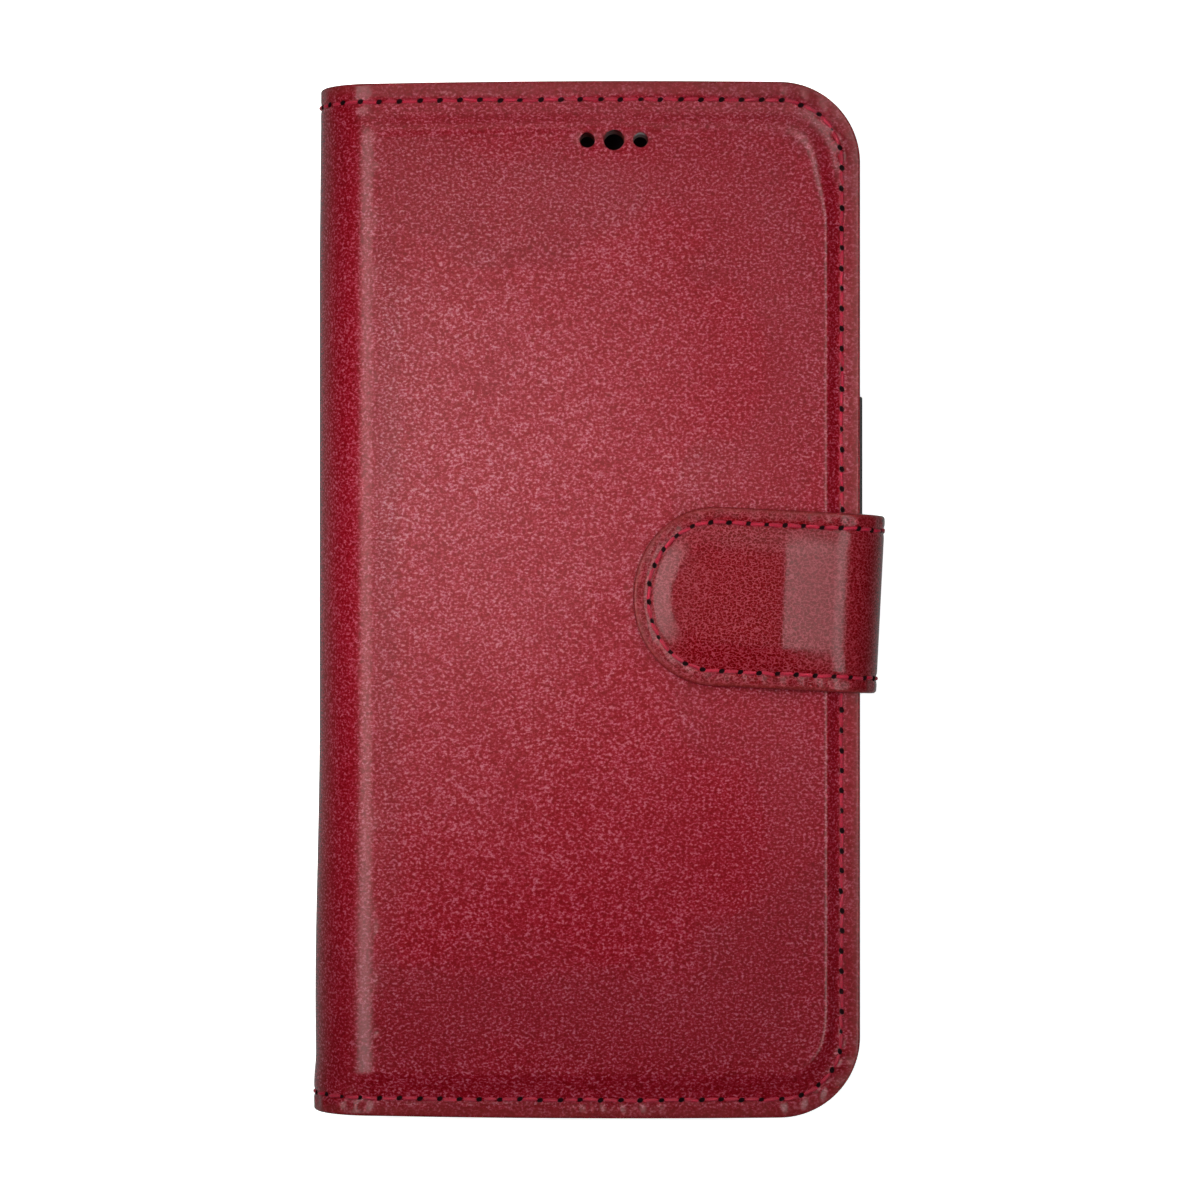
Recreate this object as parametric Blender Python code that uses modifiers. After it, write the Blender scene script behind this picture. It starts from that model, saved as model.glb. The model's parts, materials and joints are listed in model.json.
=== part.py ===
"""A leather folio case for a phone, closed, lying on its back cover.

+Z points out of the front cover, +Y to the phone's top edge and +X to the side that the
strap closes on. The origin is on the back cover's outer face, behind the phone's middle.
The front cover turns on two folds along the spine, and the strap on two folds of its own.
"""

import math

import bmesh
import bpy
from mathutils import Matrix

# The phone that the case is made for, and the soft shell that holds it.
PHONE_WIDTH = 0.0715
PHONE_HEIGHT = 0.1467
PHONE_DEPTH = 0.0078
PHONE_CORNER = 0.0115
SHELL_WALL = 0.0009
SHELL_FLOOR = 0.0012
SHELL_EDGE = 0.0004
LIP_HEIGHT = 0.0006
LIP_REACH = 0.0011

# Sheets and plates that the two covers are laid up from.
LEATHER = 0.0012
BOARD = 0.0008
LINING = 0.0005
FOAM = 0.0009
ADHESIVE = 0.0003
ADHESIVE_INSET = 0.0095
PANEL = 0.0005
GAP = 0.0003
COVER_PLAY = 0.0004

# Outline of the covers.
SIDE_MARGIN = 0.00035
END_MARGIN = 0.0036
COVER_CORNER = 0.012
SHEET_CORNER = 0.0005
INNER_INSET = 0.0008
PAD_INSET = 0.0045

# Spine.
SPINE_ROOM = 0.008
SPINE_RADIUS = 0.009
FOLD_GAP = 0.0005

# Thread and the holes over the earpiece.
THREAD_RADIUS = 0.00025
STITCH_INSET = 0.0028
STRAP_STITCH_INSET = 0.0023
EAR_HOLE_RADII = (0.0011, 0.0015, 0.00105)
EAR_HOLE_SPACING = 0.004
EAR_HOLE_DROP = 0.0089

# Strap.
STRAP_WIDTH = 0.0268
STRAP_LINING = 0.0008
STRAP_REACH = 0.0342
STRAP_TIP_DEPTH = 0.0122
STRAP_ROOT_LENGTH = 0.011
STRAP_ROOT_THICKNESS = 0.0008
STRAP_ROOT_RADIUS = 0.003
STRAP_TOP_RADIUS = 0.0045
STRAP_SIDE_ROOM = 0.001
STRAP_SLANT = math.radians(-2.9)
STRAP_MIDDLE = -0.0006

# Magnet in the strap and the one that it meets in the front cover.
MAGNET_LENGTH = 0.014
MAGNET_WIDTH = 0.0173
MAGNET_THICKNESS = 0.0012
MAGNET_TIP_MARGIN = 0.0067
MAGNET_TIP_CORNER = 0.006
MAGNET_CORNER = 0.001

# Pockets in the front cover.
CARD_HEIGHT = 0.0856
CARD_POCKET_DEPTH = 0.0424
CARD_STAGGER = 0.009
CARD_POCKETS = 3
POCKET_SEAM = 0.0032
POCKET_DROP = 0.0075
POCKET_CORNER = 0.0015
CASH_POCKET_DEPTH = 0.0674
CASH_POCKET_DROP = 0.0189
CASH_POCKET_CORNER = 0.006

# Keys in the shell's side walls: the middle of each, up from the phone's middle, and its length.
KEY_HEIGHT = 0.0026
KEY_TRAVEL = 0.0004
KEY_PROUD = 0.00135
KEY_EDGE = 0.0003
SIDE_KEY = (0.0212, 0.0197)
VOLUME_UP_KEY = (0.031, 0.0098)
VOLUME_DOWN_KEY = (0.0185, 0.0098)

# Windows and ports.
CAMERA_WIDTH = 0.033
CAMERA_HEIGHT = 0.036
CAMERA_CORNER = 0.008
CAMERA_MARGIN = 0.0034
CAMERA_REVEAL = 0.001
PORT_WIDTH = 0.013
PORT_HEIGHT = 0.0052
SPEAKER_WIDTH = 0.011
SPEAKER_HEIGHT = 0.0026
SPEAKER_OFFSET = 0.0185

ARC_STEP = math.radians(11.25)
CUT = 0.002

# Levels up through the closed case.
SHELL_BOTTOM = LEATHER + BOARD + LINING + ADHESIVE + 4 * GAP
CAVITY_FLOOR = SHELL_BOTTOM + SHELL_FLOOR
CAVITY_TOP = CAVITY_FLOOR + PHONE_DEPTH
SHELL_TOP = CAVITY_TOP + LIP_HEIGHT
POCKET_BOTTOM = SHELL_TOP + COVER_PLAY
PANELS_TOP = POCKET_BOTTOM + (CARD_POCKETS + 1) * (PANEL + GAP)
FRONT_OUTER = PANELS_TOP + LINING + BOARD + LEATHER + 2 * GAP
PAD_TOP = FRONT_OUTER + FOAM + GAP
BOARD_DEPTH = LEATHER + GAP
LINING_DEPTH = LEATHER + BOARD + 2 * GAP

# Places across the case.
SHELL_RIGHT = PHONE_WIDTH / 2 + SHELL_WALL
SHELL_END = PHONE_HEIGHT / 2 + SHELL_WALL
COVER_RIGHT = SHELL_RIGHT + SIDE_MARGIN
COVER_END = SHELL_END + END_MARGIN
SPINE_LEFT = -SHELL_RIGHT - SPINE_ROOM
SPINE_X = SPINE_LEFT + SPINE_RADIUS
BACK_CENTRE = (SPINE_X, SPINE_RADIUS)
FRONT_CENTRE = (SPINE_X, FRONT_OUTER - SPINE_RADIUS)

# Places along the strap, which is laid out straight and then slanted about STRAP_PIVOT.
STRAP_OUT = COVER_RIGHT + STRAP_SIDE_ROOM + STRAP_LINING + GAP + LEATHER
STRAP_TOP = PAD_TOP + GAP + STRAP_LINING + GAP + LEATHER
STRAP_ROOT_CENTRE = (STRAP_OUT - STRAP_ROOT_RADIUS, BOARD_DEPTH + STRAP_ROOT_RADIUS)
STRAP_TOP_CENTRE = (STRAP_OUT - STRAP_TOP_RADIUS, STRAP_TOP - STRAP_TOP_RADIUS)
STRAP_TIP = COVER_RIGHT - STRAP_REACH
STRAP_PIVOT = Matrix.Translation((COVER_RIGHT, STRAP_MIDDLE, 0))
STRAP_PLACE = STRAP_PIVOT @ Matrix.Rotation(STRAP_SLANT, 4, "Z") @ Matrix.Translation((-COVER_RIGHT, 0, 0))
MAGNET_LEFT = STRAP_TIP + MAGNET_TIP_MARGIN

QUARTER = math.pi / 2
EIGHTH = math.pi / 4


def start_clean():
    """Empties the scene and returns a collection for the case's parts and one for its cutters."""
    for thing in list(bpy.data.objects):
        bpy.data.objects.remove(thing, do_unlink=True)
    made = []
    for name in ("phone_wallet_case", "cutters"):
        collection = bpy.data.collections.new(name)
        bpy.context.scene.collection.children.link(collection)
        made.append(collection)
    return made


PARTS, CUTTERS = start_clean()


def material(name, colour, roughness, metallic=0.0):
    """A plain finish in one colour."""
    made = bpy.data.materials.new(name)
    made.use_nodes = True
    shader = made.node_tree.nodes["Principled BSDF"]
    shader.inputs["Base Color"].default_value = (*colour, 1.0)
    shader.inputs["Roughness"].default_value = roughness
    shader.inputs["Metallic"].default_value = metallic
    return made


RED_LEATHER = material("red_leather", (0.25, 0.022, 0.032), 0.45)
SUEDE = material("suede_lining", (0.16, 0.02, 0.028), 0.95)
GREY_BOARD = material("grey_board", (0.32, 0.28, 0.23), 0.9)
FOAM_SHEET = material("foam_sheet", (0.6, 0.6, 0.58), 0.95)
RED_THREAD = material("red_thread", (0.45, 0.02, 0.05), 0.6)
BLACK_SHELL = material("black_soft_plastic", (0.012, 0.012, 0.013), 0.5)
CLEAR_ADHESIVE = material("adhesive_sheet", (0.7, 0.66, 0.5), 0.3)
MAGNET_STEEL = material("plated_magnet", (0.55, 0.55, 0.56), 0.3, 1.0)


def arc(centre, radius, start, end):
    """Points along an arc in its own plane, both ends included."""
    steps = max(2, math.ceil(abs(end - start) / ARC_STEP))
    turns = (start + (end - start) * i / steps for i in range(steps + 1))
    return [(centre[0] + radius * math.cos(t), centre[1] + radius * math.sin(t)) for t in turns]


def rounded_box(low, high, radii):
    """The outline of a box whose corners are rounded: lower right, upper right, upper left, lower left."""
    corners = ((high[0], low[1]), (high[0], high[1]), (low[0], high[1]), (low[0], low[1]))
    points = []
    for turn, (corner, radius) in enumerate(zip(corners, radii)):
        start = (turn - 1) * QUARTER
        inward = start + EIGHTH + math.pi
        centre = (
            corner[0] + radius * math.sqrt(2) * math.cos(inward),
            corner[1] + radius * math.sqrt(2) * math.sin(inward),
        )
        points += arc(centre, radius, start, start + QUARTER)
    return points


def mesh_of(curve_object, name, placed):
    """A closed mesh of a curve's solid with its caps welded on, in place of the curve."""
    bpy.context.view_layer.update()
    evaluated = curve_object.evaluated_get(bpy.context.evaluated_depsgraph_get())
    mesh = bpy.data.meshes.new_from_object(evaluated)
    mesh.transform(placed)
    solid = bmesh.new()
    solid.from_mesh(mesh)
    bmesh.ops.remove_doubles(solid, verts=solid.verts, dist=1e-6)
    bmesh.ops.recalc_face_normals(solid, faces=solid.faces)
    solid.to_mesh(mesh)
    solid.free()
    mesh.name = name
    mesh.shade_smooth()
    mesh.set_sharp_from_angle(angle=math.radians(30))
    bpy.data.objects.remove(curve_object, do_unlink=True)
    made = bpy.data.objects.new(name, mesh)
    PARTS.objects.link(made)
    return made


def curve_object(name, dimensions, points, closed):
    """A curve of straight runs through these points."""
    curve = bpy.data.curves.new(name, "CURVE")
    curve.dimensions = dimensions
    spline = curve.splines.new("POLY")
    spline.points.add(len(points) - 1)
    for place, point in zip(spline.points, points):
        place.co = (*point, *([0.0] * (3 - len(point))), 1.0)
    spline.use_cyclic_u = closed
    made = bpy.data.objects.new(name, curve)
    PARTS.objects.link(made)
    return made


def plate(name, outline, low, high):
    """A flat outline in X and Y, from one level up to another."""
    flat = curve_object(name, "2D", outline, closed=True)
    flat.data.fill_mode = "BOTH"
    flat.data.extrude = (high - low) / 2
    return mesh_of(flat, name, Matrix.Translation((0, 0, (high + low) / 2)))


def section(name, outline, half_length):
    """A section in X and Z, run along Y as far each way as half_length."""
    flat = curve_object(name, "2D", outline, closed=True)
    flat.data.fill_mode = "BOTH"
    flat.data.extrude = half_length
    return mesh_of(flat, name, Matrix.Rotation(QUARTER, 4, "X"))


def tube(name, route, radius):
    """A round cord with flat ends along a route of points."""
    wire = curve_object(name, "3D", route, closed=False)
    wire.data.bevel_depth = radius
    wire.data.bevel_resolution = 2
    wire.data.use_fill_caps = True
    return mesh_of(wire, name, Matrix.Identity(4))


def cutter(made):
    """Marks a solid as a tool that shapes others and isn't a part."""
    PARTS.objects.unlink(made)
    CUTTERS.objects.link(made)
    made.hide_render = True
    made.display_type = "WIRE"
    return made


def shape_with(made, operation, *tools):
    """Adds one Boolean step for each tool."""
    for tool in tools:
        step = made.modifiers.new(tool.name, "BOOLEAN")
        step.operation = operation
        step.object = tool
        step.solver = "EXACT"


def finish(made, finish_material):
    """Gives a part its finish."""
    made.data.materials.clear()
    made.data.materials.append(finish_material)
    return made


def pivot(name, x, z, place):
    """An empty on a fold's axis, which the pieces past that fold hang from."""
    made = bpy.data.objects.new(name, None)
    PARTS.objects.link(made)
    made.matrix_world = place @ Matrix.Translation((x, 0, z))
    bpy.context.view_layer.update()
    return made


def hang(parent, *children):
    """Parents pieces to a pivot and leaves them where they are."""
    bpy.context.view_layer.update()
    for child in children:
        child.parent = parent
        child.matrix_parent_inverse = parent.matrix_world.inverted()


def cover_outline(inset, left):
    """The outline of a sheet in a cover: square at the spine and rounded at the two far corners."""
    radius = COVER_CORNER - inset
    low = (left, inset - COVER_END)
    high = (COVER_RIGHT - inset, COVER_END - inset)
    return rounded_box(low, high, (radius, radius, SHEET_CORNER, SHEET_CORNER))


def case_line(depth, run, gap=FOLD_GAP):
    """The line at this depth inside the case's outer face, along one of its three runs.

    The back and the front run are flat and end halfway round their bend, and the spine's run
    joins the two. A gap is left between the runs, with its middle on the fold's axis.
    """
    radius = SPINE_RADIUS - depth
    half = gap / 2 / SPINE_RADIUS
    if run == "back":
        bend = arc(BACK_CENTRE, radius, -QUARTER, -QUARTER - EIGHTH + half)
        return [(COVER_RIGHT + CUT, depth), *bend]
    if run == "front":
        bend = arc(FRONT_CENTRE, radius, QUARTER, QUARTER + EIGHTH - half)
        return [(COVER_RIGHT + CUT, FRONT_OUTER - depth), *bend]
    lower = arc(BACK_CENTRE, radius, -QUARTER - EIGHTH - half, -math.pi)
    return lower + arc(FRONT_CENTRE, radius, math.pi, QUARTER + EIGHTH + half)


def case_sheet(name, depth, thickness, run):
    """A sheet of this thickness at a depth inside the case's outer face."""
    line = case_line(depth, run) + case_line(depth + thickness, run)[::-1]
    return section(name, line, COVER_END)


def case_thread_route(run, gap=FOLD_GAP):
    """The centre line of the thread round a cover's three free edges and into its bend."""
    row = COVER_END - STITCH_INSET
    bend = case_line(THREAD_RADIUS, run, gap)[1:]
    level = bend[0][1]
    centre = (COVER_RIGHT - COVER_CORNER, COVER_END - COVER_CORNER)
    corner = arc(centre, COVER_CORNER - STITCH_INSET, QUARTER, 0)
    upper = [(x, row, z) for x, z in reversed(bend)] + [(x, y, level) for x, y in corner]
    return upper + [(x, -y, z) for x, y, z in reversed(upper)]


def spine_thread_route(side, gap=FOLD_GAP):
    """The centre line of the thread across the spine, at the top for side 1 and the bottom for -1."""
    row = side * (COVER_END - STITCH_INSET)
    return [(x, row, z) for x, z in case_line(THREAD_RADIUS, "spine", gap)]


def strap_line(depth, run, gap=FOLD_GAP):
    """The line at this depth inside the strap's outer face, along one of its three runs."""
    low, high = STRAP_ROOT_RADIUS - depth, STRAP_TOP_RADIUS - depth
    low_half, high_half = gap / 2 / STRAP_ROOT_RADIUS, gap / 2 / STRAP_TOP_RADIUS
    if run == "root":
        bend = arc(STRAP_ROOT_CENTRE, low, -QUARTER, -EIGHTH - low_half)
        return [(COVER_RIGHT - STRAP_ROOT_LENGTH, BOARD_DEPTH + depth), *bend]
    if run == "tongue":
        bend = arc(STRAP_TOP_CENTRE, high, EIGHTH + high_half, QUARTER)
        return [*bend, (STRAP_TIP - CUT, STRAP_TOP - depth)]
    lower = arc(STRAP_ROOT_CENTRE, low, -EIGHTH + low_half, 0)
    return lower + arc(STRAP_TOP_CENTRE, high, 0, EIGHTH - high_half)


def strap_sheet(name, depth, thickness, run):
    """A sheet of the strap, at a depth inside its outer face."""
    line = strap_line(depth, run) + strap_line(depth + thickness, run)[::-1]
    return section(name, line, STRAP_WIDTH / 2)


def tip_line(inset):
    """The strap's rounded tip, as half an ellipse from its lower edge round to its upper one."""
    centre = STRAP_TIP + STRAP_TIP_DEPTH
    depth, half = STRAP_TIP_DEPTH - inset, STRAP_WIDTH / 2 - inset
    return [(centre + depth * x, half * y) for x, y in arc((0, 0), 1.0, -QUARTER, -3 * QUARTER)]


def magnet_outline(grow):
    """The outline of the magnet, or of what is raised over it, in the strap's own directions."""
    half = MAGNET_WIDTH / 2 + grow
    tip, plain = MAGNET_TIP_CORNER + grow, MAGNET_CORNER + grow
    low = (MAGNET_LEFT - grow, -half)
    high = (MAGNET_LEFT + MAGNET_LENGTH + grow, half)
    return rounded_box(low, high, (plain, plain, tip, tip))


def window_outline(grow):
    """The outline of the window for the phone's camera, on the +X side at the top."""
    right = PHONE_WIDTH / 2 - CAMERA_MARGIN + grow
    top = PHONE_HEIGHT / 2 - CAMERA_MARGIN + grow
    low = (right - CAMERA_WIDTH - 2 * grow, top - CAMERA_HEIGHT - 2 * grow)
    return rounded_box(low, (right, top), [CAMERA_CORNER + grow] * 4)


def pocket_outline(depth, low, height, corner):
    """The outline of a pocket's panel, sewn along the cover's free side and open at the spine."""
    right = COVER_RIGHT - INNER_INSET
    radii = (COVER_CORNER, COVER_CORNER, corner, corner)
    return rounded_box((right - depth, low), (right, low + height), radii)


def ear_holes():
    """Cutters for the row of holes over the phone's earpiece."""
    made = []
    for place, radius in zip((-1, 0, 1), EAR_HOLE_RADII):
        centre = (place * EAR_HOLE_SPACING, COVER_END - EAR_HOLE_DROP)
        outline = arc(centre, radius, 0, 4 * QUARTER)[:-1]
        made.append(cutter(plate(f"ear_hole_{place + 2}", outline, PANELS_TOP - GAP, PAD_TOP + CUT)))
    return made


COVER_EDGE = cutter(plate("cover_edge", cover_outline(0.0, SPINE_LEFT - CUT), -CUT, PAD_TOP + CUT))
LEATHER_WINDOW = cutter(plate("leather_window", window_outline(CAMERA_REVEAL), -CUT, SHELL_BOTTOM))
SHELL_WINDOW = cutter(plate("shell_window", window_outline(0.0), SHELL_BOTTOM - CUT, CAVITY_FLOOR + CUT))
EAR_HOLES = ear_holes()


def build_back():
    """The back cover's sheets and the thread round them."""
    groove = cutter(tube("back_groove", case_thread_route("back", -FOLD_GAP), THREAD_RADIUS + GAP))
    leather = finish(case_sheet("back_leather", 0.0, LEATHER, "back"), RED_LEATHER)
    shape_with(leather, "INTERSECT", COVER_EDGE)
    shape_with(leather, "DIFFERENCE", LEATHER_WINDOW, groove)

    notch_line = rounded_box(
        (COVER_RIGHT - STRAP_ROOT_LENGTH - GAP, -STRAP_WIDTH / 2 - GAP),
        (COVER_RIGHT + 2 * CUT, STRAP_WIDTH / 2 + GAP),
        [SHEET_CORNER] * 4,
    )
    notch = cutter(plate("root_notch", notch_line, 0.0, LINING_DEPTH))
    notch.matrix_world = STRAP_PLACE
    outline = cover_outline(INNER_INSET, SPINE_X + GAP)
    board = finish(plate("back_board", outline, BOARD_DEPTH, BOARD_DEPTH + BOARD), GREY_BOARD)
    shape_with(board, "DIFFERENCE", LEATHER_WINDOW, notch)

    lining = finish(case_sheet("back_lining", LINING_DEPTH, LINING, "back"), SUEDE)
    shape_with(lining, "INTERSECT", COVER_EDGE)
    shape_with(lining, "DIFFERENCE", LEATHER_WINDOW)

    finish(tube("back_thread", case_thread_route("back"), THREAD_RADIUS), RED_THREAD)
    root = strap_line(0.0, "root") + strap_line(STRAP_ROOT_THICKNESS, "root")[::-1]
    tab = finish(section("strap_root", root, STRAP_WIDTH / 2), RED_LEATHER)
    tab.matrix_world = STRAP_PLACE


def phone_outline(grow):
    """The phone's outline, or one this much larger."""
    half = (PHONE_WIDTH / 2 + grow, PHONE_HEIGHT / 2 + grow)
    return rounded_box((-half[0], -half[1]), half, [PHONE_CORNER + grow] * 4)


def slot(name, low, high, radius, side):
    """A cutter for a rounded slot: through a side wall for side "X", or the bottom wall for "Y"."""
    outline = rounded_box(low, high, [radius] * 4)
    made = cutter(plate(name, outline, -CUT, CUT))
    made.rotation_euler = (QUARTER, 0, QUARTER if side == "X" else 0)
    return made


def build_shell():
    """The soft shell that grips the phone, and the sheet that sticks it to the lining."""
    shell = plate("phone_shell", phone_outline(SHELL_WALL), SHELL_BOTTOM, SHELL_TOP)
    finish(shell, BLACK_SHELL)
    edge = shell.modifiers.new("soft_edges", "BEVEL")
    edge.width = SHELL_EDGE
    edge.segments = 2
    edge.limit_method = "ANGLE"
    edge.angle_limit = EIGHTH
    cavity = cutter(plate("phone_space", phone_outline(0.0), CAVITY_FLOOR, CAVITY_TOP))
    opening = phone_outline(-LIP_REACH)
    mouth = cutter(plate("phone_mouth", opening, CAVITY_TOP - LIP_HEIGHT, SHELL_TOP + CUT))
    shape_with(shell, "DIFFERENCE", cavity, mouth, SHELL_WINDOW)

    middle = (CAVITY_FLOOR + CAVITY_TOP) / 2
    ports = (
        ("charging_port", 0.0, PORT_WIDTH, PORT_HEIGHT),
        ("left_speaker_slot", -SPEAKER_OFFSET, SPEAKER_WIDTH, SPEAKER_HEIGHT),
        ("right_speaker_slot", SPEAKER_OFFSET, SPEAKER_WIDTH, SPEAKER_HEIGHT),
    )
    for name, place, width, height in ports:
        half = (width / 2, height / 2)
        hole = slot(name, (-half[0], -half[1]), half, height / 2 - GAP, "Y")
        hole.location = (place, -PHONE_HEIGHT / 2, middle)
        shape_with(shell, "DIFFERENCE", hole)

    half = (SHELL_RIGHT - ADHESIVE_INSET, SHELL_END - ADHESIVE_INSET)
    outline = rounded_box((-half[0], -half[1]), half, [SHEET_CORNER] * 4)
    sheet = plate("shell_adhesive", outline, SHELL_BOTTOM - GAP - ADHESIVE, SHELL_BOTTOM - GAP)
    shape_with(finish(sheet, CLEAR_ADHESIVE), "DIFFERENCE", LEATHER_WINDOW)
    return shell


def build_key(shell, name, side, place, length):
    """A key in the shell's side wall, on the +X side for side 1 and the -X side for -1."""
    middle = (CAVITY_FLOOR + CAVITY_TOP) / 2
    half = (length / 2 + GAP, KEY_HEIGHT / 2 + GAP)
    hole = slot(f"{name}_slot", (-half[0], -half[1]), half, half[1] - GAP, "X")
    hole.location = (side * SHELL_RIGHT, place, middle)
    shape_with(shell, "DIFFERENCE", hole)

    inner = PHONE_WIDTH / 2 + KEY_TRAVEL
    outer = SHELL_RIGHT + KEY_PROUD
    bpy.ops.mesh.primitive_cube_add(size=1.0)
    key = bpy.context.object
    key.name = name
    for collection in list(key.users_collection):
        collection.objects.unlink(key)
    PARTS.objects.link(key)
    key.data.transform(Matrix.Diagonal((outer - inner, length, KEY_HEIGHT, 1.0)))
    key.location = (side * (inner + outer) / 2, place, middle)
    edge = key.modifiers.new("round_edges", "BEVEL")
    edge.width = KEY_EDGE
    edge.segments = 3
    finish(key, BLACK_SHELL)


def build_spine():
    """The sheets that bend round the spine, and the two short runs of thread across it."""
    leather = finish(case_sheet("spine_leather", 0.0, LEATHER, "spine"), RED_LEATHER)
    threads = []
    for name, side in (("spine_thread_upper", 1), ("spine_thread_lower", -1)):
        route = spine_thread_route(side, -FOLD_GAP)
        groove = cutter(tube(f"{name}_groove", route, THREAD_RADIUS + GAP))
        shape_with(leather, "DIFFERENCE", groove)
        threads.append(finish(tube(name, spine_thread_route(side), THREAD_RADIUS), RED_THREAD))
    stiffener = finish(case_sheet("spine_stiffener", BOARD_DEPTH, BOARD, "spine"), GREY_BOARD)
    lining = finish(case_sheet("spine_lining", LINING_DEPTH, LINING, "spine"), SUEDE)
    return [leather, stiffener, lining, *threads]


def build_front():
    """The front cover's sheets, its padded panel and the thread round them."""
    under = FRONT_OUTER - LEATHER
    pad_line = cover_outline(PAD_INSET, SPINE_X)
    pad = cutter(plate("pad", pad_line, FRONT_OUTER - LEATHER / 2, PAD_TOP))
    foam_inset = PAD_INSET + LEATHER + GAP
    foam_left = SPINE_X + LEATHER + GAP
    pocket_line = cover_outline(foam_inset - GAP, foam_left - GAP)
    pocket = cutter(plate("foam_space", pocket_line, under - CUT, PAD_TOP - LEATHER))
    groove = cutter(tube("front_groove", case_thread_route("front", -FOLD_GAP), THREAD_RADIUS + GAP))
    leather = finish(case_sheet("front_leather", 0.0, LEATHER, "front"), RED_LEATHER)
    shape_with(leather, "INTERSECT", COVER_EDGE)
    shape_with(leather, "UNION", pad)
    shape_with(leather, "DIFFERENCE", pocket, groove, *EAR_HOLES)

    foam = plate("front_foam", cover_outline(foam_inset, foam_left), under, under + FOAM)
    shape_with(finish(foam, FOAM_SHEET), "DIFFERENCE", *EAR_HOLES)

    level = FRONT_OUTER - BOARD_DEPTH - BOARD
    keeper = finish(plate("front_magnet", magnet_outline(0.0), level, level + BOARD), MAGNET_STEEL)
    keeper.matrix_world = STRAP_PLACE
    space = cutter(plate("keeper_space", magnet_outline(GAP), level - GAP / 2, level + BOARD + GAP / 2))
    space.matrix_world = STRAP_PLACE
    board = plate("front_board", cover_outline(INNER_INSET, SPINE_X + GAP), level, level + BOARD)
    shape_with(finish(board, GREY_BOARD), "DIFFERENCE", space, *EAR_HOLES)

    lining = finish(case_sheet("front_lining", LINING_DEPTH, LINING, "front"), SUEDE)
    shape_with(lining, "INTERSECT", COVER_EDGE)
    shape_with(lining, "DIFFERENCE", *EAR_HOLES)
    thread = finish(tube("front_thread", case_thread_route("front"), THREAD_RADIUS), RED_THREAD)
    return [leather, foam, keeper, board, lining, thread]


def build_pockets():
    """The card pockets, one stepped behind the other, and the cash pocket behind them all."""
    made = []
    low = POCKET_DROP - COVER_END
    height = CARD_HEIGHT + 2 * POCKET_SEAM
    for number in range(CARD_POCKETS):
        depth = CARD_POCKET_DEPTH + number * CARD_STAGGER
        level = POCKET_BOTTOM + number * (PANEL + GAP)
        outline = pocket_outline(depth, low, height, POCKET_CORNER)
        made.append(finish(plate(f"card_pocket_{number + 1}", outline, level, level + PANEL), RED_LEATHER))
    level = POCKET_BOTTOM + CARD_POCKETS * (PANEL + GAP)
    bottom = INNER_INSET - COVER_END
    height = COVER_END - CASH_POCKET_DROP - bottom
    outline = pocket_outline(CASH_POCKET_DEPTH, bottom, height, CASH_POCKET_CORNER)
    made.append(finish(plate("cash_pocket", outline, level, level + PANEL), RED_LEATHER))
    return made


def build_strap_side():
    """The run of the strap that stands beside the case, with its two short runs of thread."""
    leather = finish(strap_sheet("strap_side_leather", 0.0, LEATHER, "side"), RED_LEATHER)
    lining = finish(strap_sheet("strap_side_lining", LEATHER + GAP, STRAP_LINING, "side"), SUEDE)
    made = [leather, lining]
    row = STRAP_WIDTH / 2 - STRAP_STITCH_INSET
    for name, side in (("strap_side_thread_upper", 1), ("strap_side_thread_lower", -1)):
        route = [(x, side * row, z) for x, z in strap_line(THREAD_RADIUS, "side")]
        longer = [(x, side * row, z) for x, z in strap_line(THREAD_RADIUS, "side", -FOLD_GAP)]
        groove = cutter(tube(f"{name}_groove", longer, THREAD_RADIUS + GAP))
        groove.matrix_world = STRAP_PLACE
        shape_with(leather, "DIFFERENCE", groove)
        made.append(finish(tube(name, route, THREAD_RADIUS), RED_THREAD))
    for piece in made:
        piece.matrix_world = STRAP_PLACE
    return made


def tongue_thread_route(gap=FOLD_GAP):
    """The centre line of the thread round the strap's tongue."""
    row = STRAP_WIDTH / 2 - STRAP_STITCH_INSET
    bend = strap_line(THREAD_RADIUS, "tongue", gap)[:-1]
    level = STRAP_TOP - THREAD_RADIUS
    tip = [(x, y, level) for x, y in tip_line(STRAP_STITCH_INSET)]
    return [(x, -row, z) for x, z in bend] + tip + [(x, row, z) for x, z in reversed(bend)]


def build_tongue():
    """The strap's tongue, which lies on the front cover, and the magnet inside it."""
    right = STRAP_OUT + CUT
    half = STRAP_WIDTH / 2
    edge_line = [(right, half), (right, -half), *tip_line(0.0)]
    edge = cutter(plate("tongue_edge", edge_line, PAD_TOP - CUT, STRAP_TOP + 2 * CUT))
    under = STRAP_TOP - LEATHER
    rise = MAGNET_THICKNESS + GAP
    cover = magnet_outline(LEATHER + GAP)
    raised = cutter(plate("magnet_cover", cover, STRAP_TOP - LEATHER / 2, STRAP_TOP + rise))
    space = cutter(plate("magnet_space", magnet_outline(GAP), under - GAP / 2, under + rise))
    groove = cutter(tube("tongue_groove", tongue_thread_route(-FOLD_GAP), THREAD_RADIUS + GAP))
    leather = finish(strap_sheet("tongue_leather", 0.0, LEATHER, "tongue"), RED_LEATHER)
    shape_with(leather, "INTERSECT", edge)
    shape_with(leather, "UNION", raised)
    shape_with(leather, "DIFFERENCE", space, groove)
    lining = finish(strap_sheet("tongue_lining", LEATHER + GAP, STRAP_LINING, "tongue"), SUEDE)
    shape_with(lining, "INTERSECT", edge)
    magnet = plate("strap_magnet", magnet_outline(0.0), under, under + MAGNET_THICKNESS)
    finish(magnet, MAGNET_STEEL)
    thread = finish(tube("tongue_thread", tongue_thread_route(), THREAD_RADIUS), RED_THREAD)
    made = [leather, lining, magnet, thread]
    for piece in (*made, edge, raised, space, groove):
        piece.matrix_world = STRAP_PLACE
    return made


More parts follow.
